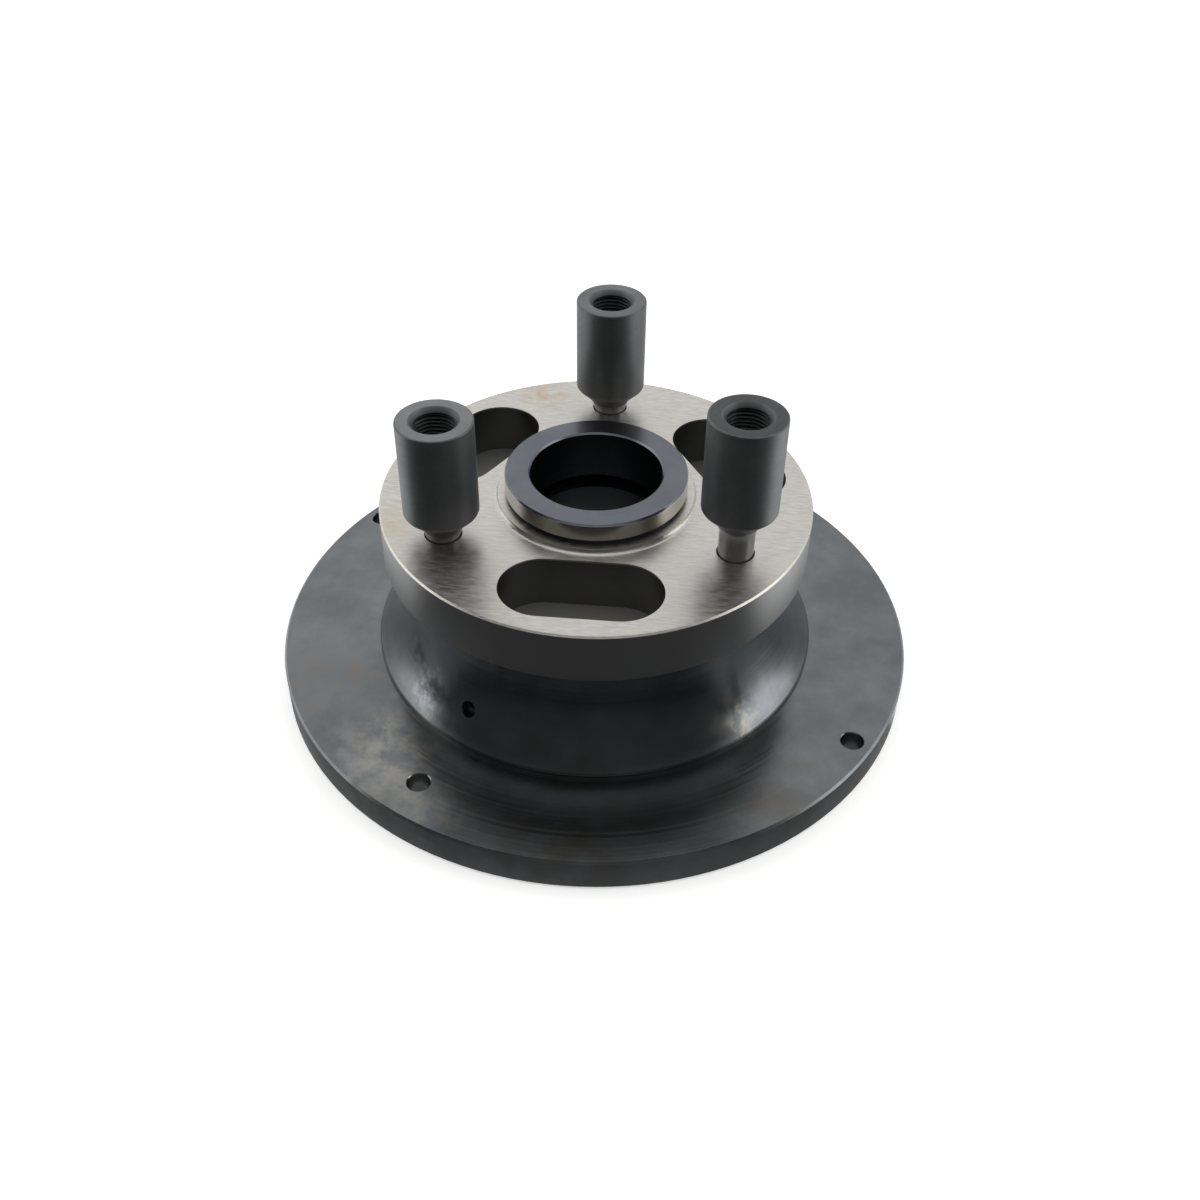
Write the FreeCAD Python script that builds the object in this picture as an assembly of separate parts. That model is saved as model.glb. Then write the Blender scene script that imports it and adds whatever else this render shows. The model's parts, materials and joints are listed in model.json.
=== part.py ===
import FreeCAD, Part
import math
import os

# Draw-down face-plate chuck: a flanged hub carries a round face plate with a locating collar.
# Three clamp posts slide in it and are pulled back by a spring-loaded draw plate inside the hub.
# Millimetres, +Z out of the chuck's face, origin at the centre of the flange's back.

# ---- driving dimensions ----------------------------------------------------
flange_radius = 125.0
flange_thickness = 13.5
flange_chamfer = 0.8
register_radius = 95.0        # recess in the back that fits over the spindle nose
register_depth = 4.0
cover_seat_radius = 84.0
cover_thickness = 4.0

flare_base_radius = 87.0
flare_land_height = 1.2       # upright land at the foot of the flare
neck_radius = 76.0
neck_start_z = 46.0
hub_top_z = 56.6
cavity_radius = 71.5
cavity_top_z = 41.0
spigot_radius = 38.0
spigot_height = 3.0

plate_radius = 81.6
face_z = 77.0
boss_radius = 37.2            # low boss that the collar sits on
boss_height = 1.7

slot_radius = 15.5            # half the slot's width
slot_length = 58.5
slot_centre_radius = 57.0
slot_angles = (-90.0, 30.0, 150.0)

collar_radius = 34.35
collar_bore_radius = 24.8
collar_top_z = 87.45
collar_ring_height = 7.25
collar_neck_radius = 32.3
collar_skirt_radius = 30.0
collar_skirt_z = 68.0

post_circle_radius = 61.1
post_angles = {"back": 90.0, "left": 210.0, "right": 330.0}
post_lift = {"back": 0.0, "left": 0.0, "right": 9.0}   # how far each post stands off its seat at rest
post_head_radius = 13.7
post_head_length = 37.5
post_top_z = 125.3            # top of a seated post
post_rod_radius = 6.5
neck_fillet_length = 4.5      # tangent length of the concave blend below the post's cone
socket_radius = 7.25          # bore of the tapped socket in the post's head
socket_mouth_radius = 8.9
socket_depth = 27.0
stud_radius = 5.0
stud_bottom_z = 8.9
post_travel = 9.0             # how far a post floats between its seat and its nut
washer_radius = 9.5
washer_thickness = 2.0
nut_across_flats = 16.0
nut_thickness = 5.0

draw_plate_radius = 70.8
draw_plate_bottom_z = 25.5
draw_plate_top_z = 35.0
draw_tube_radius = 31.5
draw_tube_bore_radius = 25.0
draw_tube_bottom_z = 4.5
draw_tube_top_z = 62.0
draw_thread_radius = 27.0
draw_thread_length = 16.0

rim_hole_radius = 4.25
rim_bolt_circle_radius = 117.0
rim_bolt_angles = (-30.0, 150.0)
jack_circle_radius = 109.0
jack_angles = (-120.0, 60.0)

plug_angles = (-120.0, 60.0)
plug_z = 26.5
plug_radius = 3.0
plug_length = 5.0
plug_outer_radius = 77.4      # where the plug's outer end sits, below the flare's surface

spring_circle_radius = 52.0
spring_angles = slot_angles
spring_coil_radius = 7.5
spring_wire_radius = 1.2
spring_turns = 4.5
spring_pocket_radius = 10.0
spring_pocket_top_z = 53.0
spring_seat_depth = 1.0

bush_radius = 10.0
bush_top_z = 70.5
seal_pocket_top_z = 73.5
plate_skin_hole_radius = 6.7    # where the post's rod comes out of the face

centre_bush_radius = 34.5
plate_screw_circle_radius = 44.0
plate_screw_radius = 3.0
plate_screw_head_radius = 5.0
plate_screw_counterbore = 6.5
plate_screw_tip_z = 68.0
dowel_radius = 3.0
dowel_angles = (116.0, 236.0)
dowel_low_z = 48.0
dowel_high_z = 66.5
cover_screw_circle_radius = 77.5
cover_screw_radius = 2.5
cover_screw_head_radius = 5.2
cover_screw_head_depth = 2.5
cover_screw_count = 6
cover_screw_tip_z = 18.0
cover_hole_radius = 32.5
oring_groove_depth = 1.8
oring_groove_width = 2.4
oring_groove_z = collar_skirt_z + 3.0

running_gap = 0.05            # radial, shaft in bush
press_gap = 0.02              # radial, fixed fits and threads
clearance = 0.3               # radial, loose holes
end_gap = 0.2                 # left at the blind end of holes and beside seals
stop_gap = 0.3                # left between parts that meet at the end of a travel
past = 1.0                    # how far a cutter runs past the face that it opens
edge = 0.6                    # small edge chamfers
hole_edge = 0.3               # chamfers round the rim holes, the rod holes and the flare's foot

washer_top_z = draw_plate_bottom_z - post_travel - stop_gap

up = FreeCAD.Vector(0, 0, 1)
origin = FreeCAD.Vector(0, 0, 0)


# ---- helpers ---------------------------------------------------------------
def place(radius, angle, z=0.0):
    turn = math.radians(angle)
    return FreeCAD.Vector(radius * math.cos(turn), radius * math.sin(turn), z)


def cylinder(radius, z_low, z_high, at=origin):
    return Part.makeCylinder(radius, z_high - z_low, FreeCAD.Vector(at.x, at.y, z_low))


def cone(radius_low, radius_high, z_low, z_high, at=origin):
    return Part.makeCone(radius_low, radius_high, z_high - z_low, FreeCAD.Vector(at.x, at.y, z_low))


def ring(radius_in, radius_out, z_low, z_high, at=origin):
    return cylinder(radius_out, z_low, z_high, at).cut(cylinder(radius_in, z_low, z_high, at))


def turned(outline, at=origin):
    """Solid of revolution from (radius, z) points; four numbers are an arc's middle and end."""
    edges = []
    here = FreeCAD.Vector(outline[0][0], 0, outline[0][1])
    for step in outline[1:] + outline[:1]:
        if len(step) == 4:
            middle = FreeCAD.Vector(step[0], 0, step[1])
            there = FreeCAD.Vector(step[2], 0, step[3])
            edges.append(Part.Arc(here, middle, there).toShape())
        else:
            there = FreeCAD.Vector(step[0], 0, step[1])
            if there.distanceToPoint(here) > 1e-6:
                edges.append(Part.LineSegment(here, there).toShape())
        here = there
    solid = Part.Face(Part.Wire(edges)).revolve(origin, up, 360)
    solid.translate(FreeCAD.Vector(at.x, at.y, 0))
    return solid


def hexagon(across_flats, z_low, z_high, at=origin):
    corner = across_flats / math.sqrt(3)
    points = [place(corner, 60 * k, z_low) + FreeCAD.Vector(at.x, at.y, 0) for k in range(7)]
    return Part.Face(Part.makePolygon(points)).extrude(FreeCAD.Vector(0, 0, z_high - z_low))


def cut_all(solid, tools):
    for tool in tools:
        solid = solid.cut(tool)
    return solid


def arc_step(centre, radius, angle_from, angle_to):
    """Middle and end of an arc about centre, as one four-number entry of a turned outline."""
    middle = math.radians((angle_from + angle_to) / 2)
    end = math.radians(angle_to)
    return (centre[0] + radius * math.cos(middle), centre[1] + radius * math.sin(middle),
            centre[0] + radius * math.cos(end), centre[1] + radius * math.sin(end))


def cover_screw_places():
    return [place(cover_screw_circle_radius, 360 * k / cover_screw_count) for k in range(cover_screw_count)]


def slot_cutter(angle, z_low, z_high):
    """Round-ended slot, its long side square to the radius at this angle."""
    half = slot_length / 2 - slot_radius
    middle = Part.makeBox(2 * slot_radius, 2 * half, z_high - z_low,
                          FreeCAD.Vector(slot_centre_radius - slot_radius, -half, z_low))
    ends = [cylinder(slot_radius, z_low, z_high, FreeCAD.Vector(slot_centre_radius, side * half, 0))
            for side in (-1, 1)]
    slot = middle.fuse(ends).removeSplitter()
    slot.rotate(origin, up, angle)
    return slot


# ---- fixed parts -----------------------------------------------------------
def make_hub_body():
    land_top = flange_thickness + flare_land_height
    flare_start = flare_base_radius - hole_edge
    rise = neck_start_z - land_top - hole_edge
    reach = flare_start - neck_radius
    flare_radius = (reach ** 2 + rise ** 2) / (2 * reach)
    centre = (neck_radius + flare_radius, neck_start_z)
    foot = 180 + math.degrees(math.asin(rise / flare_radius))
    rim = flange_radius - flange_chamfer
    body = turned([
        (register_radius, 0),
        (rim, 0),
        (flange_radius, flange_chamfer),
        (flange_radius, flange_thickness - flange_chamfer),
        (rim, flange_thickness),
        (flare_base_radius, flange_thickness),
        (flare_base_radius, land_top),
        (flare_start, land_top + hole_edge),
        arc_step(centre, flare_radius, foot, 180),
        (neck_radius, hub_top_z),
        (spigot_radius, hub_top_z),
        (spigot_radius, hub_top_z + spigot_height),
        (centre_bush_radius, hub_top_z + spigot_height),
        (centre_bush_radius, cavity_top_z),
        (cavity_radius, cavity_top_z),
        (cavity_radius, register_depth + cover_thickness),
        (cover_seat_radius, register_depth + cover_thickness),
        (cover_seat_radius, register_depth),
        (register_radius, register_depth),
    ])
    cutters = []
    rim_holes = [(rim_bolt_circle_radius, a) for a in rim_bolt_angles]
    rim_holes += [(jack_circle_radius, a) for a in jack_angles]
    for radius, angle in rim_holes:
        at = place(radius, angle)
        cutters.append(cylinder(rim_hole_radius, -past, flange_thickness + past, at))
        cutters.append(cone(rim_hole_radius, rim_hole_radius + hole_edge,
                            flange_thickness - hole_edge, flange_thickness, at))
    low = cavity_top_z - past
    high = hub_top_z + past
    screw_seat_z = cavity_top_z + plate_screw_counterbore
    for angle in post_angles.values():
        cutters.append(cylinder(bush_radius, low, high, place(post_circle_radius, angle)))
        screw = place(plate_screw_circle_radius, angle)
        cutters.append(cylinder(plate_screw_radius + clearance, low, high, screw))
        cutters.append(cylinder(plate_screw_head_radius + 0.5, low, screw_seat_z, screw))
    for angle in dowel_angles:
        cutters.append(cylinder(dowel_radius, dowel_low_z, high, place(plate_screw_circle_radius, angle)))
    for angle in spring_angles:
        cutters.append(cylinder(spring_pocket_radius, low, spring_pocket_top_z,
                                place(spring_circle_radius, angle)))
    for angle in plug_angles:
        inner = cavity_radius - past
        cutters.append(Part.makeCylinder(plug_radius, flare_base_radius - inner,
                                         place(inner, angle, plug_z), place(1, angle)))
    for at in cover_screw_places():
        cutters.append(cylinder(cover_screw_radius, register_depth, cover_screw_tip_z + 2, at))
    return cut_all(body, cutters)


def make_face_plate():
    bore = collar_skirt_radius
    relief = draw_tube_radius + 1.5
    relief_top_z = collar_skirt_z - 0.5
    recess_z = hub_top_z + spigot_height + end_gap
    boss_z = face_z + boss_height
    fillet_centre = (boss_radius + boss_height, boss_z)
    plate = turned([
        (spigot_radius + running_gap, hub_top_z),
        (plate_radius - edge, hub_top_z),
        (plate_radius, hub_top_z + edge),
        (plate_radius, face_z - edge),
        (plate_radius - edge, face_z),
        (boss_radius + boss_height, face_z),
        arc_step(fillet_centre, boss_height, 270, 180),
        (bore, boss_z),
        (bore, relief_top_z),
        (relief, relief_top_z),
        (relief, recess_z),
        (spigot_radius + running_gap, recess_z),
    ])
    low = hub_top_z - past
    high = face_z + past
    cutters = [slot_cutter(angle, low, high) for angle in slot_angles]
    for angle in post_angles.values():
        at = place(post_circle_radius, angle)
        screw = place(plate_screw_circle_radius, angle)
        cutters.append(cylinder(bush_radius, low, seal_pocket_top_z, at))
        cutters.append(cylinder(plate_skin_hole_radius, low, high, at))
        cutters.append(cone(plate_skin_hole_radius, plate_skin_hole_radius + hole_edge,
                            face_z - hole_edge, face_z, at))
        cutters.append(cylinder(plate_screw_radius, low, plate_screw_tip_z + 2, screw))
    for angle in dowel_angles:
        cutters.append(cylinder(dowel_radius, low, dowel_high_z, place(plate_screw_circle_radius, angle)))
    return cut_all(plate, cutters)


def make_locating_collar():
    groove_top = collar_top_z - collar_ring_height
    seat = face_z + boss_height
    skirt = collar_skirt_radius - press_gap
    groove_floor = skirt - oring_groove_depth
    oring_top_z = oring_groove_z + oring_groove_width
    return turned([
        (collar_bore_radius, collar_skirt_z),
        (skirt, collar_skirt_z),
        (skirt, oring_groove_z),
        (groove_floor, oring_groove_z),
        (groove_floor, oring_top_z),
        (skirt, oring_top_z),
        (skirt, seat),
        (collar_neck_radius, seat),
        (collar_neck_radius, groove_top),
        (collar_radius - edge, groove_top),
        (collar_radius, groove_top + edge),
        (collar_radius, collar_top_z - edge),
        (collar_radius - edge, collar_top_z),
        (collar_bore_radius + edge, collar_top_z),
        (collar_bore_radius, collar_top_z - edge),
    ])


def make_collar_oring():
    skirt = collar_skirt_radius - press_gap
    high = oring_groove_z + oring_groove_width - end_gap
    return ring(skirt - oring_groove_depth + press_gap, skirt, oring_groove_z + end_gap, high)


def make_guide_bush(angle):
    at = place(post_circle_radius, angle)
    return ring(post_rod_radius + running_gap, bush_radius - press_gap, cavity_top_z, bush_top_z, at)


def make_rod_seal(angle):
    at = place(post_circle_radius, angle)
    return ring(post_rod_radius + running_gap, bush_radius - press_gap,
                bush_top_z + end_gap, seal_pocket_top_z - end_gap, at)


def make_centre_bush():
    return ring(draw_tube_radius + running_gap, centre_bush_radius - press_gap, cavity_top_z, hub_top_z)


def make_centre_seal():
    return ring(draw_tube_radius + running_gap, centre_bush_radius - press_gap,
                hub_top_z + end_gap, hub_top_z + spigot_height - end_gap)


def make_plate_screws():
    """Socket head screws, put in from the cavity side."""
    screws = []
    head_low = cavity_top_z + end_gap
    head_high = cavity_top_z + plate_screw_counterbore
    for angle in post_angles.values():
        at = place(plate_screw_circle_radius, angle)
        head = cylinder(plate_screw_head_radius, head_low, head_high, at)
        shank = cylinder(plate_screw_radius - press_gap, head_high - past, plate_screw_tip_z, at)
        socket = hexagon(plate_screw_head_radius, cavity_top_z, head_low + plate_screw_radius, at)
        screws.append(head.fuse(shank).cut(socket))
    return Part.makeCompound(screws)


def make_dowel_pins():
    return Part.makeCompound([
        cylinder(dowel_radius - press_gap, dowel_low_z + end_gap, dowel_high_z - end_gap,
                 place(plate_screw_circle_radius, angle))
        for angle in dowel_angles
    ])


def make_grease_plugs():
    plugs = []
    for angle in plug_angles:
        inward = place(-1, angle)
        outer = place(plug_outer_radius, angle, plug_z)
        plug = Part.makeCylinder(plug_radius - press_gap, plug_length, outer, inward)
        socket = hexagon(plug_radius, 0, plug_length / 2)
        socket.Placement = FreeCAD.Placement(outer, FreeCAD.Rotation(up, inward))
        plugs.append(plug.cut(socket))
    return Part.makeCompound(plugs)


def make_rear_cover():
    cover = ring(cover_hole_radius, cover_seat_radius - press_gap, register_depth,
                 register_depth + cover_thickness)
    hole_radius = cover_screw_radius + clearance
    cutters = []
    for at in cover_screw_places():
        cutters.append(cylinder(hole_radius, 0, cover_screw_tip_z, at))
        cutters.append(cone(cover_screw_head_radius, hole_radius, register_depth,
                            register_depth + cover_screw_head_depth, at))
    return cut_all(cover, cutters)


def make_cover_screws():
    """Countersunk screws, their heads just under the cover's outer face."""
    screws = []
    low = register_depth + end_gap
    neck = low + cover_screw_head_depth - end_gap
    shank_radius = cover_screw_radius - press_gap
    for at in cover_screw_places():
        head = cone(cover_screw_head_radius - clearance, shank_radius, low, neck, at)
        shank = cylinder(shank_radius, neck, cover_screw_tip_z, at)
        socket = hexagon(3, low - past, low + 1.7, at)
        screws.append(head.fuse(shank).cut(socket))
    return Part.makeCompound(screws)


def make_clamp_springs():
    low = draw_plate_top_z - spring_seat_depth + spring_wire_radius
    high = spring_pocket_top_z - spring_wire_radius
    pitch = (high - low) / spring_turns
    springs = []
    for angle in spring_angles:
        centre = place(spring_circle_radius, angle, low)
        helix = Part.makeHelix(pitch, high - low, spring_coil_radius)
        start = FreeCAD.Vector(spring_coil_radius, 0, 0)
        section = Part.Wire(Part.Circle(start, FreeCAD.Vector(0, 1, 0), spring_wire_radius).toShape())
        spring = Part.Wire(helix).makePipeShell([section], True, True)
        spring.translate(centre)
        springs.append(Part.Solid(spring) if spring.ShapeType == "Shell" else spring)
    return Part.makeCompound(springs)


# ---- moving parts ----------------------------------------------------------
def make_draw_plate():
    thread_top = draw_tube_bottom_z + draw_thread_length
    body = turned([
        (draw_thread_radius, draw_tube_bottom_z),
        (draw_tube_radius, draw_tube_bottom_z),
        (draw_tube_radius, draw_plate_bottom_z),
        (draw_plate_radius, draw_plate_bottom_z),
        (draw_plate_radius, draw_plate_top_z),
        (draw_tube_radius, draw_plate_top_z),
        (draw_tube_radius, draw_tube_top_z - edge),
        (draw_tube_radius - edge, draw_tube_top_z),
        (draw_tube_bore_radius, draw_tube_top_z),
        (draw_tube_bore_radius, thread_top + 2),
        (draw_thread_radius, thread_top),
    ])
    cutters = []
    high = draw_plate_top_z + past
    for angle in post_angles.values():
        cutters.append(cylinder(stud_radius + 0.5, draw_plate_bottom_z - past, high,
                                place(post_circle_radius, angle)))
    for angle in spring_angles:
        cutters.append(cylinder(spring_coil_radius + 2, draw_plate_top_z - spring_seat_depth, high,
                                place(spring_circle_radius, angle)))
    return cut_all(body, cutters)


def make_post(name):
    """Turned post: socketed head, 45 degree cone, concave neck, ground rod and a threaded stud."""
    shoulder = post_top_z - post_head_length
    corner_z = shoulder - (post_head_radius - post_rod_radius)
    blend_radius = neck_fillet_length / math.tan(math.radians(22.5))
    blend_centre = (post_rod_radius + blend_radius, corner_z - neck_fillet_length)
    mouth_depth = socket_mouth_radius - socket_radius
    drill_tip = socket_radius * math.tan(math.radians(31))
    stud_top = draw_plate_top_z + stop_gap
    post = turned([
        (0, stud_bottom_z),
        (stud_radius - edge, stud_bottom_z),
        (stud_radius, stud_bottom_z + edge),
        (stud_radius, stud_top),
        (post_rod_radius, stud_top),
        (post_rod_radius, corner_z - neck_fillet_length),
        arc_step(blend_centre, blend_radius, 180, 135),
        (post_head_radius, shoulder),
        (post_head_radius, post_top_z - edge),
        (post_head_radius - edge, post_top_z),
        (socket_mouth_radius, post_top_z),
        (socket_radius, post_top_z - mouth_depth),
        (socket_radius, post_top_z - socket_depth),
        (0, post_top_z - socket_depth - drill_tip),
    ], place(post_circle_radius, post_angles[name]))
    post.translate(FreeCAD.Vector(0, 0, post_lift[name]))
    return post


def make_post_washer(name):
    at = place(post_circle_radius, post_angles[name])
    washer = ring(stud_radius + clearance, washer_radius, washer_top_z - washer_thickness, washer_top_z, at)
    washer.translate(FreeCAD.Vector(0, 0, post_lift[name]))
    return washer


def make_post_nut(name):
    at = place(post_circle_radius, post_angles[name])
    high = washer_top_z - washer_thickness
    low = high - nut_thickness
    nut = hexagon(nut_across_flats, low, high, at).cut(cylinder(stud_radius + press_gap, low, high, at))
    nut.translate(FreeCAD.Vector(0, 0, post_lift[name]))
    return nut


# ---- assembly --------------------------------------------------------------
nodes = {
    "hub_body": make_hub_body(),
    "face_plate": make_face_plate(),
    "locating_collar": make_locating_collar(),
    "collar_oring": make_collar_oring(),
    "centre_bush": make_centre_bush(),
    "centre_seal": make_centre_seal(),
    "plate_screws": make_plate_screws(),
    "dowel_pins": make_dowel_pins(),
    "grease_plugs": make_grease_plugs(),
    "rear_cover": make_rear_cover(),
    "cover_screws": make_cover_screws(),
    "clamp_springs": make_clamp_springs(),
    "draw_plate": make_draw_plate(),
}
for name, angle in post_angles.items():
    nodes["guide_bush_" + name] = make_guide_bush(angle)
    nodes["rod_seal_" + name] = make_rod_seal(angle)
    nodes["clamp_post_" + name] = make_post(name)
    nodes["post_washer_" + name] = make_post_washer(name)
    nodes["post_nut_" + name] = make_post_nut(name)

os.makedirs("parts", exist_ok=True)
for name, shape in nodes.items():
    shape.exportStep("parts/" + name + ".step")
    print(name, shape.isValid(), len(shape.Solids), round(shape.Volume))
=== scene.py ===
import json
import math

import bpy
import numpy as np
from mathutils import Matrix, Vector


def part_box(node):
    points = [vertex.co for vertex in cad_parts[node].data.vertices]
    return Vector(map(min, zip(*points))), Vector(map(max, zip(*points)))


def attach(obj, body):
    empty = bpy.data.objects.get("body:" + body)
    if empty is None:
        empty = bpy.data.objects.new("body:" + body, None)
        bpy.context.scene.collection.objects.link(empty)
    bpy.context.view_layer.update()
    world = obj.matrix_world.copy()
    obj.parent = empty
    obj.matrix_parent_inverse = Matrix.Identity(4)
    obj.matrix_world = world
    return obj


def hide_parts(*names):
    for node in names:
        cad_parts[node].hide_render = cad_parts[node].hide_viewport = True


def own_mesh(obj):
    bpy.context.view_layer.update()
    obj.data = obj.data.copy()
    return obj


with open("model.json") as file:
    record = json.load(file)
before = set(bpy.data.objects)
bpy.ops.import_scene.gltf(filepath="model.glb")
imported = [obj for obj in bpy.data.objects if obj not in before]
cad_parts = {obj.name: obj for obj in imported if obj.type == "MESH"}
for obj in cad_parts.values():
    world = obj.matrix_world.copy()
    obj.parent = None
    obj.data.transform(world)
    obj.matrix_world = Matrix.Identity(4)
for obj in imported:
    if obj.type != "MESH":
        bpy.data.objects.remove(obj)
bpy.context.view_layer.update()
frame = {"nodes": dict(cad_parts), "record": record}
nodes = frame["nodes"]
mm = 0.001
print("frame loaded:", len(nodes), "nodes")


def hexToLinear(code):
    # sRGB hex to the linear colour that shaders work in
    parts = [int(code[k:k + 2], 16) / 255 for k in (1, 3, 5)]
    return [c / 12.92 if c <= 0.04045 else ((c + 0.055) / 1.055) ** 2.4 for c in parts] + [1.0]


def addNode(tree, kind, inputs=None, **properties):
    # inputs: socket name or number -> a value, or the output that feeds it
    node = tree.nodes.new("ShaderNode" + kind)
    for key, value in properties.items():
        setattr(node, key, value)
    for key, value in (inputs or {}).items():
        if isinstance(value, bpy.types.NodeSocket):
            tree.links.new(value, node.inputs[key])
        else:
            node.inputs[key].default_value = value
    return node


# the part of a noise's values that is stretched to a full range, as noise keeps to its middle
noiseSpread = {
    "cloud": {"From Min": 0.35, "From Max": 0.65},
    "fine": {"From Min": 0.3, "From Max": 0.7},
    "patch": {"From Min": 0.42, "From Max": 0.62},
    "weave": {"From Min": 1.2, "From Max": 1.8},      # three noises added up
}


def startMaterial(name, metallic=1.0):
    # a new material with its node tree, its shader and the point that its patterns read
    material = bpy.data.materials.new(name)
    material.use_nodes = True
    tree = material.node_tree
    shader = tree.nodes["Principled BSDF"]
    shader.inputs["Metallic"].default_value = metallic
    point = addNode(tree, "TexCoord").outputs["Object"]
    return material, tree, shader, point


def chuckPlace(tree, point):
    # height and distance from the chuck's axis, in metres
    split = addNode(tree, "SeparateXYZ", {0: point})
    flat = addNode(tree, "CombineXYZ", {0: split.outputs[0], 1: split.outputs[1]})
    radius = addNode(tree, "VectorMath", {0: flat.outputs[0]}, operation="LENGTH").outputs["Value"]
    return split.outputs[2], radius


def layMark(tree, point, base, mark):
    # a smear of another colour round one place, ragged at its edge and patchy inside; it lays stains as well as
    # painted highlights and shade
    away = addNode(tree, "VectorMath", {0: point, 1: [c * mm for c in mark["at"]]}, operation="DISTANCE")
    ragged = addNode(tree, "TexNoise", {"Vector": point, "Scale": 1 / (mark["grain"] * mm), "Detail": 5.0,
                                        "Roughness": 0.65})
    patch = addNode(tree, "MapRange", {"Value": ragged.outputs[0], **noiseSpread["patch"]}).outputs[0]
    fade = addNode(tree, "MapRange", {"Value": away.outputs["Value"], "From Min": 0.2 * mark["reach"] * mm,
                                      "From Max": mark["reach"] * mm, "To Min": mark["amount"],
                                      "To Max": 0.0})
    mask = addNode(tree, "Math", {0: patch, 1: fade.outputs[0]}, operation="MULTIPLY")
    return addNode(tree, "Mix", {0: mask.outputs[0], 6: base, 7: hexToLinear(mark["colour"])},
                   data_type="RGBA").outputs[2]


# blackened, turned steel: hub, collar and posts
blackOxide = {
    "dark": "#65696B", "light": "#787B7E",
    "cloud": 24.0,           # mm across one cloud of the blackening
    "turning": 1.4,          # mm between turning marks, coarser than the real 0.3 so that they show
    "roughness": 0.23, "turningRoughness": 0.03, "turningDepth": 0.0012,
}
hubTop = {"colour": "#92918D", "roughness": 0.7, "from": 56.4, "inside": 76.0}      # mm up, mm from the axis
flareFootShade = {"from": 13.6, "to": 15.2, "shade": 0.35}      # mm; painted shade: the corner at the flare's foot is drawn darker
hubStainsAndPaintedLight = [
    {"at": (-66, -82, 13.5), "reach": 30, "grain": 9, "colour": "#A8A49A", "amount": 0.55},     # dried coolant
    {"at": (-47, -103, 13.5), "reach": 22, "grain": 7, "colour": "#9C978C", "amount": 0.4},
    {"at": (-100, -42, 13.5), "reach": 26, "grain": 12, "colour": "#6F655C", "amount": 0.5},    # rusty oil
    {"at": (67, -88, 13.5), "reach": 34, "grain": 14, "colour": "#6B6358", "amount": 0.55},
    # painted shade: the flange in front of the flare is drawn darker and brownish
    {"at": (0, -108, 13.5), "reach": 44, "grain": 18, "colour": "#5D564D", "amount": 0.6},
    {"at": (-62, -46, 33), "reach": 12, "grain": 6, "colour": "#3B3842", "amount": 0.9},        # temper colour
    # painted highlights: light patches on the flank at front left and front right
    {"at": (-56, -58, 25), "reach": 13, "grain": 4, "colour": "#B9BDC2", "amount": 0.6},
    {"at": (56, -58, 22), "reach": 14, "grain": 6, "colour": "#B5AEA2", "amount": 0.5},
]


def makeBlackOxide(name, spec, marks=()):
    # turned steel, chemically blackened and oiled: dark satin metal with faint clouds and fine rings
    material, tree, shader, point = startMaterial(name)
    height, radius = chuckPlace(tree, point)
    cloud = addNode(tree, "TexNoise", {"Vector": point, "Scale": 1 / (spec["cloud"] * mm), "Detail": 8.0,
                                      "Roughness": 0.65})
    cloudy = addNode(tree, "MapRange", {"Value": cloud.outputs[0], **noiseSpread["cloud"]}).outputs[0]
    base = addNode(tree, "Mix", {0: cloudy, 6: hexToLinear(spec["dark"]), 7: hexToLinear(spec["light"])},
                   data_type="RGBA").outputs[2]
    for mark in marks:
        base = layMark(tree, point, base, mark)
    tree.links.new(base, shader.inputs["Base Color"])
    ringAt = addNode(tree, "Math", {0: radius, 1: height}, operation="ADD").outputs[0]
    rings = addNode(tree, "TexNoise", {"W": ringAt, "Scale": 1 / (spec["turning"] * mm), "Detail": 2.0},
                    noise_dimensions="1D").outputs[0]
    rough = addNode(tree, "MapRange", {"Value": rings, **noiseSpread["fine"],
                                       "To Min": spec["roughness"] - spec["turningRoughness"],
                                       "To Max": spec["roughness"] + spec["turningRoughness"]}).outputs[0]
    tree.links.new(rough, shader.inputs["Roughness"])
    relief = addNode(tree, "Bump", {"Height": rings, "Distance": spec["turningDepth"] * mm})
    tree.links.new(relief.outputs[0], shader.inputs["Normal"])
    return material


def makeHubSteel():
    # black oxide all over, but the seat under the face plate is left bare from the lathe
    material = makeBlackOxide("blackOxideTurnedSteel", blackOxide, hubStainsAndPaintedLight)
    tree = material.node_tree
    shader = tree.nodes["Principled BSDF"]
    point = addNode(tree, "TexCoord").outputs["Object"]
    height, radius = chuckPlace(tree, point)
    above = addNode(tree, "Math", {0: height, 1: hubTop["from"] * mm}, operation="GREATER_THAN").outputs[0]
    inside = addNode(tree, "Math", {0: radius, 1: hubTop["inside"] * mm}, operation="LESS_THAN").outputs[0]
    bare = addNode(tree, "Math", {0: above, 1: inside}, operation="MULTIPLY").outputs[0]
    # painted shade: the band at the flare's foot is drawn darker
    foot = [addNode(tree, "Math", {0: height, 1: flareFootShade[end] * mm}, operation=side).outputs[0]
            for end, side in (("from", "GREATER_THAN"), ("to", "LESS_THAN"))]
    corner = addNode(tree, "Math", {0: foot[0], 1: foot[1]}, operation="MULTIPLY").outputs[0]
    paintedFootShade = addNode(tree, "MapRange", {"Value": corner, "To Min": 1.0,
                                      "To Max": flareFootShade["shade"]}).outputs[0]
    black = shader.inputs["Base Color"].links[0].from_socket
    black = addNode(tree, "VectorMath", {0: black, 3: paintedFootShade}, operation="SCALE").outputs[0]
    satin = shader.inputs["Roughness"].links[0].from_socket
    tree.links.new(addNode(tree, "Mix", {0: bare, 6: black, 7: hexToLinear(hubTop["colour"])},
                           data_type="RGBA").outputs[2], shader.inputs["Base Color"])
    tree.links.new(addNode(tree, "Mix", {0: bare, 2: satin, 3: hubTop["roughness"]}).outputs[0],
                   shader.inputs["Roughness"])
    return material


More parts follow.
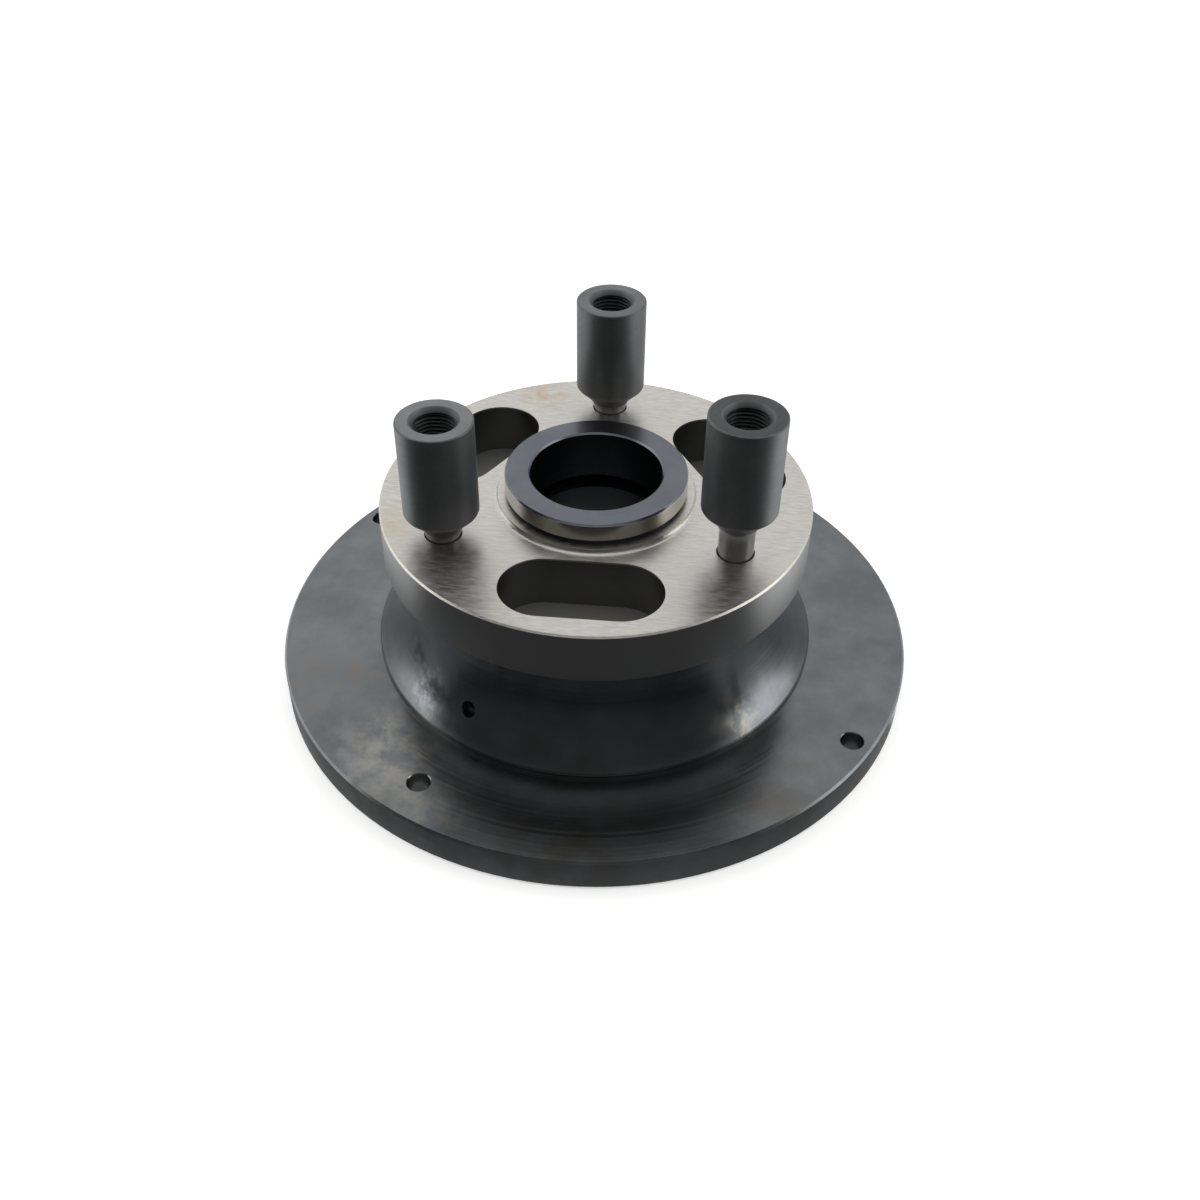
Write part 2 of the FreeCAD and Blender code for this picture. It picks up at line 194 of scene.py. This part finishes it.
# face plate: ground top, dark sides
facePlate = {
    "steel": "#CFCDC8", "shade": "#BBB8B2", "side": "#838383", "slotWall": "#767675",
    "roughness": 0.36, "roughnessSpread": 0.05,
    "grindWidth": 0.6, "grindLength": 4.0,       # mm, one scratch, wider than the real 0.1 so that it shows
    "grindDepth": 0.004,
    "grindTurns": (0.12, -0.75, 1.1),             # radians; the scratches cross each other
    "faceHeight": 76.35, "sideRadius": 80.9,      # mm, where the ground face and the rim begin
}
faceStains = [
    {"at": (-28, 67, 77), "reach": 13, "grain": 7, "colour": "#B79F6E", "amount": 0.7},         # straw oxide
    {"at": (-74, -28, 77), "reach": 16, "grain": 9, "colour": "#BCAA84", "amount": 0.35},
    {"at": (-46, -52, 77), "reach": 24, "grain": 5, "colour": "#A5A199", "amount": 0.35},       # scuffs
    {"at": (52, -53, 77), "reach": 20, "grain": 5, "colour": "#A5A199", "amount": 0.35},
]


def makeFacePlateSteel(spec):
    # hardened steel, blackened and then surface ground on its face: bright top with crossed scratches
    material, tree, shader, point = startMaterial("surfaceGroundSteel")
    height, radius = chuckPlace(tree, point)
    weave = 0.0
    for turn in spec["grindTurns"]:
        across = addNode(tree, "Mapping", {"Vector": point, "Rotation": (0, 0, turn),
                                           "Scale": (spec["grindWidth"] / spec["grindLength"], 1, 1)})
        lines = addNode(tree, "TexNoise", {"Vector": across.outputs[0], "Scale": 1 / (spec["grindWidth"] * mm),
                                           "Detail": 2.0})
        weave = addNode(tree, "Math", {0: weave, 1: lines.outputs[0]}, operation="ADD").outputs[0]
    evenWeave = addNode(tree, "MapRange", {"Value": weave, **noiseSpread["weave"]}).outputs[0]
    bright = addNode(tree, "Mix", {0: evenWeave, 6: hexToLinear(spec["shade"]), 7: hexToLinear(spec["steel"])},
                     data_type="RGBA").outputs[2]
    for mark in faceStains:
        bright = layMark(tree, point, bright, mark)
    outside = addNode(tree, "Math", {0: radius, 1: spec["sideRadius"] * mm},
                      operation="GREATER_THAN").outputs[0]
    dark = addNode(tree, "Mix", {0: outside, 6: hexToLinear(spec["slotWall"]), 7: hexToLinear(spec["side"])},
                   data_type="RGBA").outputs[2]
    onFace = addNode(tree, "Math", {0: height, 1: spec["faceHeight"] * mm},
                     operation="GREATER_THAN").outputs[0]
    tree.links.new(addNode(tree, "Mix", {0: onFace, 6: dark, 7: bright}, data_type="RGBA").outputs[2],
                   shader.inputs["Base Color"])
    rough = addNode(tree, "MapRange", {"Value": evenWeave,
                                       "To Min": spec["roughness"] - spec["roughnessSpread"],
                                       "To Max": spec["roughness"] + spec["roughnessSpread"]}).outputs[0]
    tree.links.new(rough, shader.inputs["Roughness"])
    relief = addNode(tree, "Bump", {"Height": weave, "Distance": spec["grindDepth"] * mm, "Strength": onFace})
    tree.links.new(relief.outputs[0], shader.inputs["Normal"])
    return material


plainShading = {"cloudGrains": 8, "darkening": 0.75, "roughnessSpread": 0.04}
plainFinishes = {
    # slot: name, colour, roughness, mm across the grain
    "bearing_bronze": ("turnedBronze", "#B08A4E", 0.3, 2.0),           # warm bearing bushes
    "fastener_steel": ("blackenedFastenerSteel", "#66686A", 0.4, 1.5),  # dark satin heads and nuts
    "cover_steel": ("phosphatedCoverSteel", "#5A5C5E", 0.5, 1.0),      # matt grey cover plate
    "spring_steel": ("oilTemperedWire", "#6A6A6C", 0.3, 2.0),          # grey wire with a soft shine
    "draw_steel": ("blackenedDrawTubeSteel", "#606366", 0.4, 2.5),     # dark, faintly clouded bore
}


def makePlainMetal(name, colour, roughness, grain):
    # small machined parts: one colour, clouded a little, with an uneven sheen
    material, tree, shader, point = startMaterial(name)
    cloudScale = 1 / (plainShading["cloudGrains"] * grain * mm)
    cloud = addNode(tree, "TexNoise", {"Vector": point, "Scale": cloudScale, "Detail": 4.0}).outputs[0]
    darker = [plainShading["darkening"] * c for c in hexToLinear(colour)[:3]] + [1.0]
    base = addNode(tree, "Mix", {0: cloud, 6: hexToLinear(colour), 7: darker}, data_type="RGBA").outputs[2]
    tree.links.new(base, shader.inputs["Base Color"])
    fine = addNode(tree, "TexNoise", {"Vector": point, "Scale": 1 / (grain * mm), "Detail": 3.0}).outputs[0]
    rough = addNode(tree, "MapRange", {"Value": fine, **noiseSpread["fine"],
                                       "To Min": roughness - plainShading["roughnessSpread"],
                                       "To Max": roughness + plainShading["roughnessSpread"]}).outputs[0]
    tree.links.new(rough, shader.inputs["Roughness"])
    return material


def makeRubber():
    # moulded nitrile seals: matt black
    material, tree, shader, point = startMaterial("nitrileRubber", 0.0)
    fine = addNode(tree, "TexNoise", {"Vector": point, "Scale": 1 / (0.8 * mm), "Detail": 3.0}).outputs[0]
    rough = addNode(tree, "MapRange", {"Value": fine, "To Min": 0.5, "To Max": 0.75}).outputs[0]
    tree.links.new(rough, shader.inputs["Roughness"])
    shader.inputs["Base Color"].default_value = hexToLinear("#1C1C1D")
    return material


collarSteel = dict(blackOxide, dark="#62656C", light="#6C6F76", roughness=0.23, turningRoughness=0.02,
                   ground="#B4B1A8", groundFrom=79.9, groundTo=86.9, groundRadius=34.2)


def makeCollarSteel(spec):
    # the collar's top is blackened and lapped smooth; its locating diameter is ground back to bright steel
    material = makeBlackOxide("lappedCollarSteel", spec)
    tree = material.node_tree
    shader = tree.nodes["Principled BSDF"]
    black = shader.inputs["Base Color"].links[0].from_socket
    point = addNode(tree, "TexCoord").outputs["Object"]
    height, radius = chuckPlace(tree, point)
    above = addNode(tree, "Math", {0: height, 1: spec["groundFrom"] * mm}, operation="GREATER_THAN").outputs[0]
    below = addNode(tree, "Math", {0: height, 1: spec["groundTo"] * mm}, operation="LESS_THAN").outputs[0]
    outer = addNode(tree, "Math", {0: radius, 1: spec["groundRadius"] * mm},
                    operation="GREATER_THAN").outputs[0]
    band = addNode(tree, "Math", {0: above, 1: below}, operation="MULTIPLY").outputs[0]
    ground = addNode(tree, "Math", {0: band, 1: outer}, operation="MULTIPLY").outputs[0]
    tree.links.new(addNode(tree, "Mix", {0: ground, 6: black, 7: hexToLinear(spec["ground"])},
                           data_type="RGBA").outputs[2], shader.inputs["Base Color"])
    return material


postSteel = dict(blackOxide, dark="#5A5C5D", light="#666869", roughness=0.47, turningRoughness=0.03,
                 rod="#757573", rodRoughness=0.2, metallic=0.72)


def makePostSteel(spec):
    # blackened head and socket, matt, and a smooth ground rod that shines a little
    material = makeBlackOxide("blackOxidePostSteel", spec)
    tree = material.node_tree
    shader = tree.nodes["Principled BSDF"]
    shader.inputs["Metallic"].default_value = spec["metallic"]
    onRod = addNode(tree, "Attribute", attribute_name="groundRod").outputs["Fac"]
    # the shade attribute carries painted light and shade: each post's top drawn lighter or darker, its socket
    # darker
    paintedPostLight = addNode(tree, "Attribute", attribute_name="shade").outputs["Fac"]
    black = shader.inputs["Base Color"].links[0].from_socket
    black = addNode(tree, "VectorMath", {0: black, 3: paintedPostLight}, operation="SCALE").outputs[0]
    satin = shader.inputs["Roughness"].links[0].from_socket
    tree.links.new(addNode(tree, "Mix", {0: onRod, 6: black, 7: hexToLinear(spec["rod"])},
                           data_type="RGBA").outputs[2], shader.inputs["Base Color"])
    tree.links.new(addNode(tree, "Mix", {0: onRod, 2: satin, 3: spec["rodRoughness"]}).outputs[0],
                   shader.inputs["Roughness"])
    return material


finishes = {
    "hub_steel": makeHubSteel(),
    "plate_steel": makeFacePlateSteel(facePlate),
    "collar_steel": makeCollarSteel(collarSteel),
    "post_steel": makePostSteel(postSteel),
    "seal_rubber": makeRubber(),
}
for slot, finish in plainFinishes.items():
    finishes[slot] = makePlainMetal(*finish)
slotOf = {row["node"]: row["material_slot"] for row in frame["record"]["subparts"]}
for name, node in nodes.items():
    node.data.materials.clear()
    node.data.materials.append(finishes[slotOf[name]])
print("finishes on", len(nodes), "nodes")

clampPost = {
    # mm; the head's radius, its top and the post's foot come from the frame
    "headLength": 37.5, "rodRadius": 6.5, "blend": 4.5,
    "studRadius": 5.0, "studTop": 26.4,                  # stud's top above the post's foot
    "socketRadius": 7.25, "mouthRadius": 8.9, "socketDepth": 27.0, "drillAngle": 31,
    "threadPitch": 1.5, "threadDepth": 0.75, "threadRows": 8,      # rows of points per turn of thread
    "softEdge": 0.7, "fineEdge": 0.25,
    "around": 96, "sharpAngle": 32,
    "paintedTopLight": {"back": 1.3, "left": 1.65, "right": 0.6},       # painted light and shade: how much lighter or darker the top of each post is drawn
    # painted shade inside each post's socket
    "paintedSocketShade": 0.35,
}


def softenCorners(corners):
    # corners are (radius, height, softness); a soft one becomes the quadratic curve that leaves and
    # meets its two sides at that distance: (1-t)^2 A + 2t(1-t) P + t^2 B
    points = np.array([c[:2] for c in corners])
    steps = np.linspace(0, 1, 7)[:, None]
    outline = []
    for k, (radius, height, softness) in enumerate(corners):
        here = points[k]
        if softness == 0:
            outline.append(here[None])
            continue
        before, after = points[k - 1] - here, points[k + 1] - here
        start = here + before * softness / np.linalg.norm(before)
        end = here + after * softness / np.linalg.norm(after)
        outline.append((1 - steps) ** 2 * start + 2 * steps * (1 - steps) * here + steps ** 2 * end)
    return np.concatenate(outline)


def spinOutline(name, outline, centre, spec, swell=None):
    # point(s, t) = centre + (r(s) cos t, r(s) sin t, z(s)), with swell(s, t) added to r;
    # the outline starts and ends on the axis, where one point closes the surface
    around = spec["around"]
    turn = np.linspace(0, 2 * np.pi, around, endpoint=False)
    rings = outline[1:-1]
    radius = rings[:, :1] + (0 if swell is None else swell(rings, turn))
    grid = np.stack([radius * np.cos(turn), radius * np.sin(turn), rings[:, 1:] + 0 * turn], axis=-1)
    ends = np.array([[0, 0, outline[0, 1]], [0, 0, outline[-1, 1]]])
    verts = np.concatenate([grid.reshape(-1, 3), ends]) * mm + np.array([*centre, 0])
    ids = np.arange(len(rings) * around).reshape(len(rings), around)
    beside = np.roll(ids, -1, axis=1)
    quads = np.stack([ids[:-1], beside[:-1], beside[1:], ids[1:]], axis=-1).reshape(-1, 4)
    foot, tip = len(verts) - 2, len(verts) - 1
    fans = np.concatenate([np.stack([beside[0], ids[0], np.full(around, foot)], axis=-1),
                           np.stack([ids[-1], beside[-1], np.full(around, tip)], axis=-1)])
    mesh = bpy.data.meshes.new(name)
    mesh.from_pydata(verts, [], quads.tolist() + fans.tolist())
    mesh.shade_smooth()
    mesh.set_sharp_from_angle(angle=math.radians(spec["sharpAngle"]))
    piece = bpy.data.objects.new(name, mesh)
    bpy.context.scene.collection.objects.link(piece)
    return piece


def makeClampPost(side):
    spec = clampPost
    low, high = (np.array(corner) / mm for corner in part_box("clamp_post_" + side))
    centre = (low + high)[:2] / 2 * mm
    head, top, foot = (high - low)[0] / 2, high[2], low[2]
    shoulder = top - spec["headLength"]
    socket, mouth, rod, stud = (spec[k] for k in ("socketRadius", "mouthRadius", "rodRadius", "studRadius"))
    threadTop = top - (mouth - socket)
    threadLow = top - spec["socketDepth"]
    tip = threadLow - socket * math.tan(math.radians(spec["drillAngle"]))
    soft, fine = spec["softEdge"], spec["fineEdge"]
    outside = softenCorners([
        (0, foot, 0),
        (stud, foot, soft),
        (stud, foot + spec["studTop"], 0),
        (rod, foot + spec["studTop"], fine),
        (rod, shoulder - (head - rod), spec["blend"]),
        (head, shoulder, soft),
        (head, top, soft),
        (mouth, top, fine),
        (socket, threadTop, 0),
    ])
    rows = int((threadTop - threadLow) / spec["threadPitch"] * spec["threadRows"])
    wall = np.stack([np.full(rows, socket), np.linspace(threadTop, threadLow, rows + 1)[1:]], axis=-1)
    outline = np.concatenate([outside, wall, [[0, tip]]])

    def thread(rings, turn):
        # 60 degree thread: a triangle wave of height / pitch less the turn, cut flat over a sixth of its
        # height at crest and root, and faded out over one pitch at both ends
        height = rings[:, 1:]
        wave = np.abs(2 * np.mod(height / spec["threadPitch"] - turn / (2 * np.pi), 1) - 1)
        inside = (np.abs(rings[:, :1] - socket) < 0.01) & (height < threadTop) & (height > threadLow)
        ends = np.minimum(threadTop - height, height - threadLow) / spec["threadPitch"]
        return inside * np.clip(ends, 0, 1) * spec["threadDepth"] * np.clip(1.5 * wave - 0.25, 0, 1)

    post = spinOutline("clampPost_" + side, outline, centre, spec, thread)
    verts = np.empty(3 * len(post.data.vertices))
    post.data.vertices.foreach_get("co", verts)
    verts = verts.reshape(-1, 3) / mm
    height = verts[:, 2]
    radius = np.hypot(*(verts[:, :2] - centre / mm).T)
    # painted light and shade: the top of each post is drawn lighter or darker
    shade = np.where(height > top - 0.01, spec["paintedTopLight"][side], 1.0)
    # painted shade: the socket is drawn darker
    shade = np.where((radius < mouth - 0.3) & (height > tip - 0.01), spec["paintedSocketShade"], shade)
    for attribute, values in (("groundRod", height < shoulder - (head - rod)), ("shade", shade)):
        layer = post.data.attributes.new(attribute, "FLOAT", "POINT")
        layer.data.foreach_set("value", np.float32(values))
    post.data.materials.append(finishes["post_steel"])
    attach(post, "post_" + side)
    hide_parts("clamp_post_" + side)


for side in ("back", "left", "right"):
    makeClampPost(side)
print("three clamp posts made")

clampSpring = {
    # mm; the circle the springs stand on and their height come from the frame
    "coilRadius": 7.5, "wireRadius": 1.2,
    "turns": 5.5, "closedTurns": 1.0, "closedPitch": 2.6,      # the end turns lie close together
    "aroundWire": 14, "perTurn": 48, "sharpAngle": 50,
    "angles": (-90, 30, 150),
    "freeGap": 0.1,                                            # between spring and draw plate when pressed
}


def makeClampSprings():
    spec = clampSpring
    low, high = (np.array(corner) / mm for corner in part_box("clamp_springs"))
    coil, wire = spec["coilRadius"], spec["wireRadius"]
    circle = -low[1] - coil - wire
    foot, top = low[2] + wire, high[2] - wire
    # path(u) = (R cos u, R sin u, z(u)), z climbing slowly in the end turns and evenly between them;
    # point(u, v) = path(u) + w (cos v * outward(u) + sin v * (tangent(u) x outward(u)))
    turn = np.linspace(0, spec["turns"], int(spec["turns"] * spec["perTurn"]) + 1)
    ends, step = spec["closedTurns"], spec["closedPitch"] * spec["closedTurns"]
    height = np.interp(turn, [0, ends, spec["turns"] - ends, spec["turns"]],
                       [foot, foot + step, top - step, top])
    u = 2 * np.pi * turn
    v = np.linspace(0, 2 * np.pi, spec["aroundWire"], endpoint=False)
    outward = np.stack([np.cos(u), np.sin(u), 0 * u], axis=-1)
    path = coil * outward + np.stack([0 * u, 0 * u, height], axis=-1)
    tangent = np.gradient(path, axis=0)
    tangent /= np.linalg.norm(tangent, axis=1)[:, None]
    sideways = np.cross(tangent, outward)
    section = np.cos(v)[:, None] * outward[:, None] + np.sin(v)[:, None] * sideways[:, None]
    tube = path[:, None] + wire * section
    rows, around = tube.shape[:2]
    ids = np.arange(rows * around).reshape(rows, around)
    beside = np.roll(ids, -1, axis=1)
    quads = np.stack([ids[:-1], beside[:-1], beside[1:], ids[1:]], axis=-1).reshape(-1, 4)
    start, finish = rows * around, rows * around + 1
    fans = np.concatenate([np.stack([beside[0], ids[0], np.full(around, start)], axis=-1),
                           np.stack([ids[-1], beside[-1], np.full(around, finish)], axis=-1)])
    one = np.concatenate([tube.reshape(-1, 3), path[[0, -1]]])
    places = [np.array([circle * math.cos(math.radians(a)), circle * math.sin(math.radians(a)), 0])
              for a in spec["angles"]]
    verts = np.concatenate([one + place for place in places]) * mm
    shift = np.arange(len(places))[:, None, None] * len(one)
    mesh = bpy.data.meshes.new("clampSprings")
    faces = (quads + shift).reshape(-1, 4).tolist() + (fans + shift).reshape(-1, 3).tolist()
    mesh.from_pydata(verts, [], faces)
    mesh.shade_smooth()
    mesh.set_sharp_from_angle(angle=math.radians(spec["sharpAngle"]))
    springs = bpy.data.objects.new("clampSprings", mesh)
    bpy.context.scene.collection.objects.link(springs)
    mesh.materials.append(finishes["spring_steel"])
    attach(springs, "hub")
    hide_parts("clamp_springs")
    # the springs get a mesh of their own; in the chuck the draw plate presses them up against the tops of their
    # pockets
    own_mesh(springs)


makeClampSprings()
print("clamp springs made")

studio = {
    "floorSize": 6.0, "floorColour": "#F4F4F3", "floorGlow": 0.55,
    "floorLevel": -0.0003,   # a hair under the chuck's back, so that the two faces don't coincide
    "sweepEnd": (101, 109),  # degrees round from the back where the white sweep gives way to the dark front
    "sideStart": (60, 84),   # degrees from which the sweep's sides are brighter than its back
    "backGlow": (1.1, 0.88), "sideGlow": (1.75, 2.25),       # left end and right end
    "frontGlow": 0.095, "topGlow": 0.9,
    "nearFloor": 0.48, "farFloor": 1.0, "floorReach": (0.125, 0.22),     # metres from the chuck's axis
    "frontFloor": 0.09, "nearFrontFloor": 0.28,
}
cameraSpec = {
    "turn": 4.99,            # degrees round the chuck from straight in front
    "back": 0.40131, "height": 0.36718,
    "pan": 0.278, "down": 40.569, "roll": -0.74,
    "lens": 39.146,
}


def sweepGlow(tree, x, y):
    # brightness of the sweep by the way it lies: cosine of the angle from the back, stepped at its ends
    flat = addNode(tree, "CombineXYZ", {0: x, 1: y})
    reach = addNode(tree, "VectorMath", {0: flat.outputs[0]}, operation="LENGTH").outputs["Value"]
    cosine = addNode(tree, "Math", {0: y, 1: reach}, operation="DIVIDE").outputs[0]
    ends = [math.cos(math.radians(a)) for a in studio["sweepEnd"]]
    starts = [math.cos(math.radians(a)) for a in studio["sideStart"]]
    across = addNode(tree, "Math", {0: x, 1: reach}, operation="DIVIDE").outputs[0]
    sideGlow, backGlow = (addNode(tree, "MapRange", {"Value": across, "From Min": -1.0, "To Min": left,
                                                     "To Max": right}).outputs[0]
                          for left, right in (studio["sideGlow"], studio["backGlow"]))
    side = addNode(tree, "MapRange", {"Value": cosine, "From Min": starts[1], "From Max": starts[0],
                                      "To Min": sideGlow, "To Max": backGlow}).outputs[0]
    lit = addNode(tree, "MapRange", {"Value": cosine, "From Min": ends[1], "From Max": ends[0]}).outputs[0]
    return addNode(tree, "Math", {0: side, 1: lit}, operation="MULTIPLY").outputs[0], reach


def makeFloor():
    half = studio["floorSize"] / 2
    floorMesh = bpy.data.meshes.new("floor")
    level = studio["floorLevel"]
    corners = [(-half, -half, level), (half, -half, level), (half, half, level), (-half, half, level)]
    floorMesh.from_pydata(corners, [], [(0, 1, 2, 3)])
    floor = bpy.data.objects.new("floor", floorMesh)
    bpy.context.scene.collection.objects.link(floor)
    material, tree, shader, point = startMaterial("paleFloor", 0.0)
    shader.inputs["Base Color"].default_value = hexToLinear(studio["floorColour"])
    shader.inputs["Roughness"].default_value = 0.8
    shader.inputs["Emission Color"].default_value = hexToLinear(studio["floorColour"])
    shader.inputs["Emission Strength"].default_value = studio["floorGlow"]
    # the metal sees a white floor behind and beside the chuck, shaded close to it, and a dark one in front
    split = addNode(tree, "SeparateXYZ", {0: point})
    glow, reach = sweepGlow(tree, split.outputs[0], split.outputs[1])
    near, far = studio["floorReach"]
    shade = addNode(tree, "MapRange", {"Value": reach, "From Min": near, "From Max": far,
                                       "To Min": studio["nearFloor"], "To Max": studio["farFloor"]}).outputs[0]
    front = addNode(tree, "MapRange", {"Value": reach, "From Min": near, "From Max": 1.15 * near,
                                       "To Min": studio["nearFrontFloor"],
                                       "To Max": studio["frontFloor"]}).outputs[0]
    white = addNode(tree, "Math", {0: glow, 1: shade}, operation="MULTIPLY").outputs[0]
    seen = addNode(tree, "Emission", {"Strength": addNode(tree, "Math", {0: white, 1: front},
                                                          operation="MAXIMUM").outputs[0]})
    eye = addNode(tree, "LightPath").outputs["Is Camera Ray"]
    either = addNode(tree, "MixShader", {0: eye, 1: seen.outputs[0], 2: shader.outputs[0]})
    tree.links.new(either.outputs[0], tree.nodes["Material Output"].inputs["Surface"])
    floorMesh.materials.append(material)


def makeWorld():
    # a white sweep behind and beside the chuck and over it, and a dark room in front of it
    world = bpy.data.worlds.new("studioWorld")
    world.use_nodes = True
    tree = world.node_tree
    way = addNode(tree, "SeparateXYZ", {0: addNode(tree, "TexCoord").outputs["Generated"]})
    glow, reach = sweepGlow(tree, way.outputs[0], way.outputs[1])
    around = addNode(tree, "Math", {0: glow, 1: studio["frontGlow"]}, operation="MAXIMUM").outputs[0]
    overhead = addNode(tree, "MapRange", {"Value": way.outputs[2], "From Min": 0.6, "From Max": 0.9}).outputs[0]
    roof = addNode(tree, "Mix", {0: overhead, 2: around, 3: studio["topGlow"]}).outputs[0]
    eye = addNode(tree, "LightPath").outputs["Is Camera Ray"]
    strength = addNode(tree, "Math", {0: roof, 1: eye}, operation="MAXIMUM").outputs[0]
    tree.links.new(strength, tree.nodes["Background"].inputs["Strength"])
    tree.nodes["Background"].inputs["Color"].default_value = hexToLinear("#FFFFFF")
    bpy.context.scene.world = world


def makeCamera():
    spec = cameraSpec
    pan, down, roll = (math.radians(spec[k]) for k in ("pan", "down", "roll"))
    forward = Vector((math.sin(pan) * math.cos(down), math.cos(pan) * math.cos(down), -math.sin(down)))
    right = Vector((math.cos(pan), -math.sin(pan), 0))
    below = forward.cross(right)
    across = right * math.cos(roll) + below * math.sin(roll)
    beneath = below * math.cos(roll) - right * math.sin(roll)
    pose = Matrix((across, -beneath, -forward)).transposed().to_4x4()
    pose.translation = Vector((0, -spec["back"], spec["height"]))
    camera = bpy.data.objects.new("camera", bpy.data.cameras.new("camera"))
    camera.data.lens = spec["lens"]
    camera.data.sensor_width = 36.0
    camera.data.clip_start = 0.01
    bpy.context.scene.collection.objects.link(camera)
    camera.matrix_world = Matrix.Rotation(math.radians(spec["turn"]), 4, "Z") @ pose
    bpy.context.scene.camera = camera


makeFloor()
makeWorld()
makeCamera()
bpy.context.scene.view_settings.view_transform = "Standard"
print("studio ready")
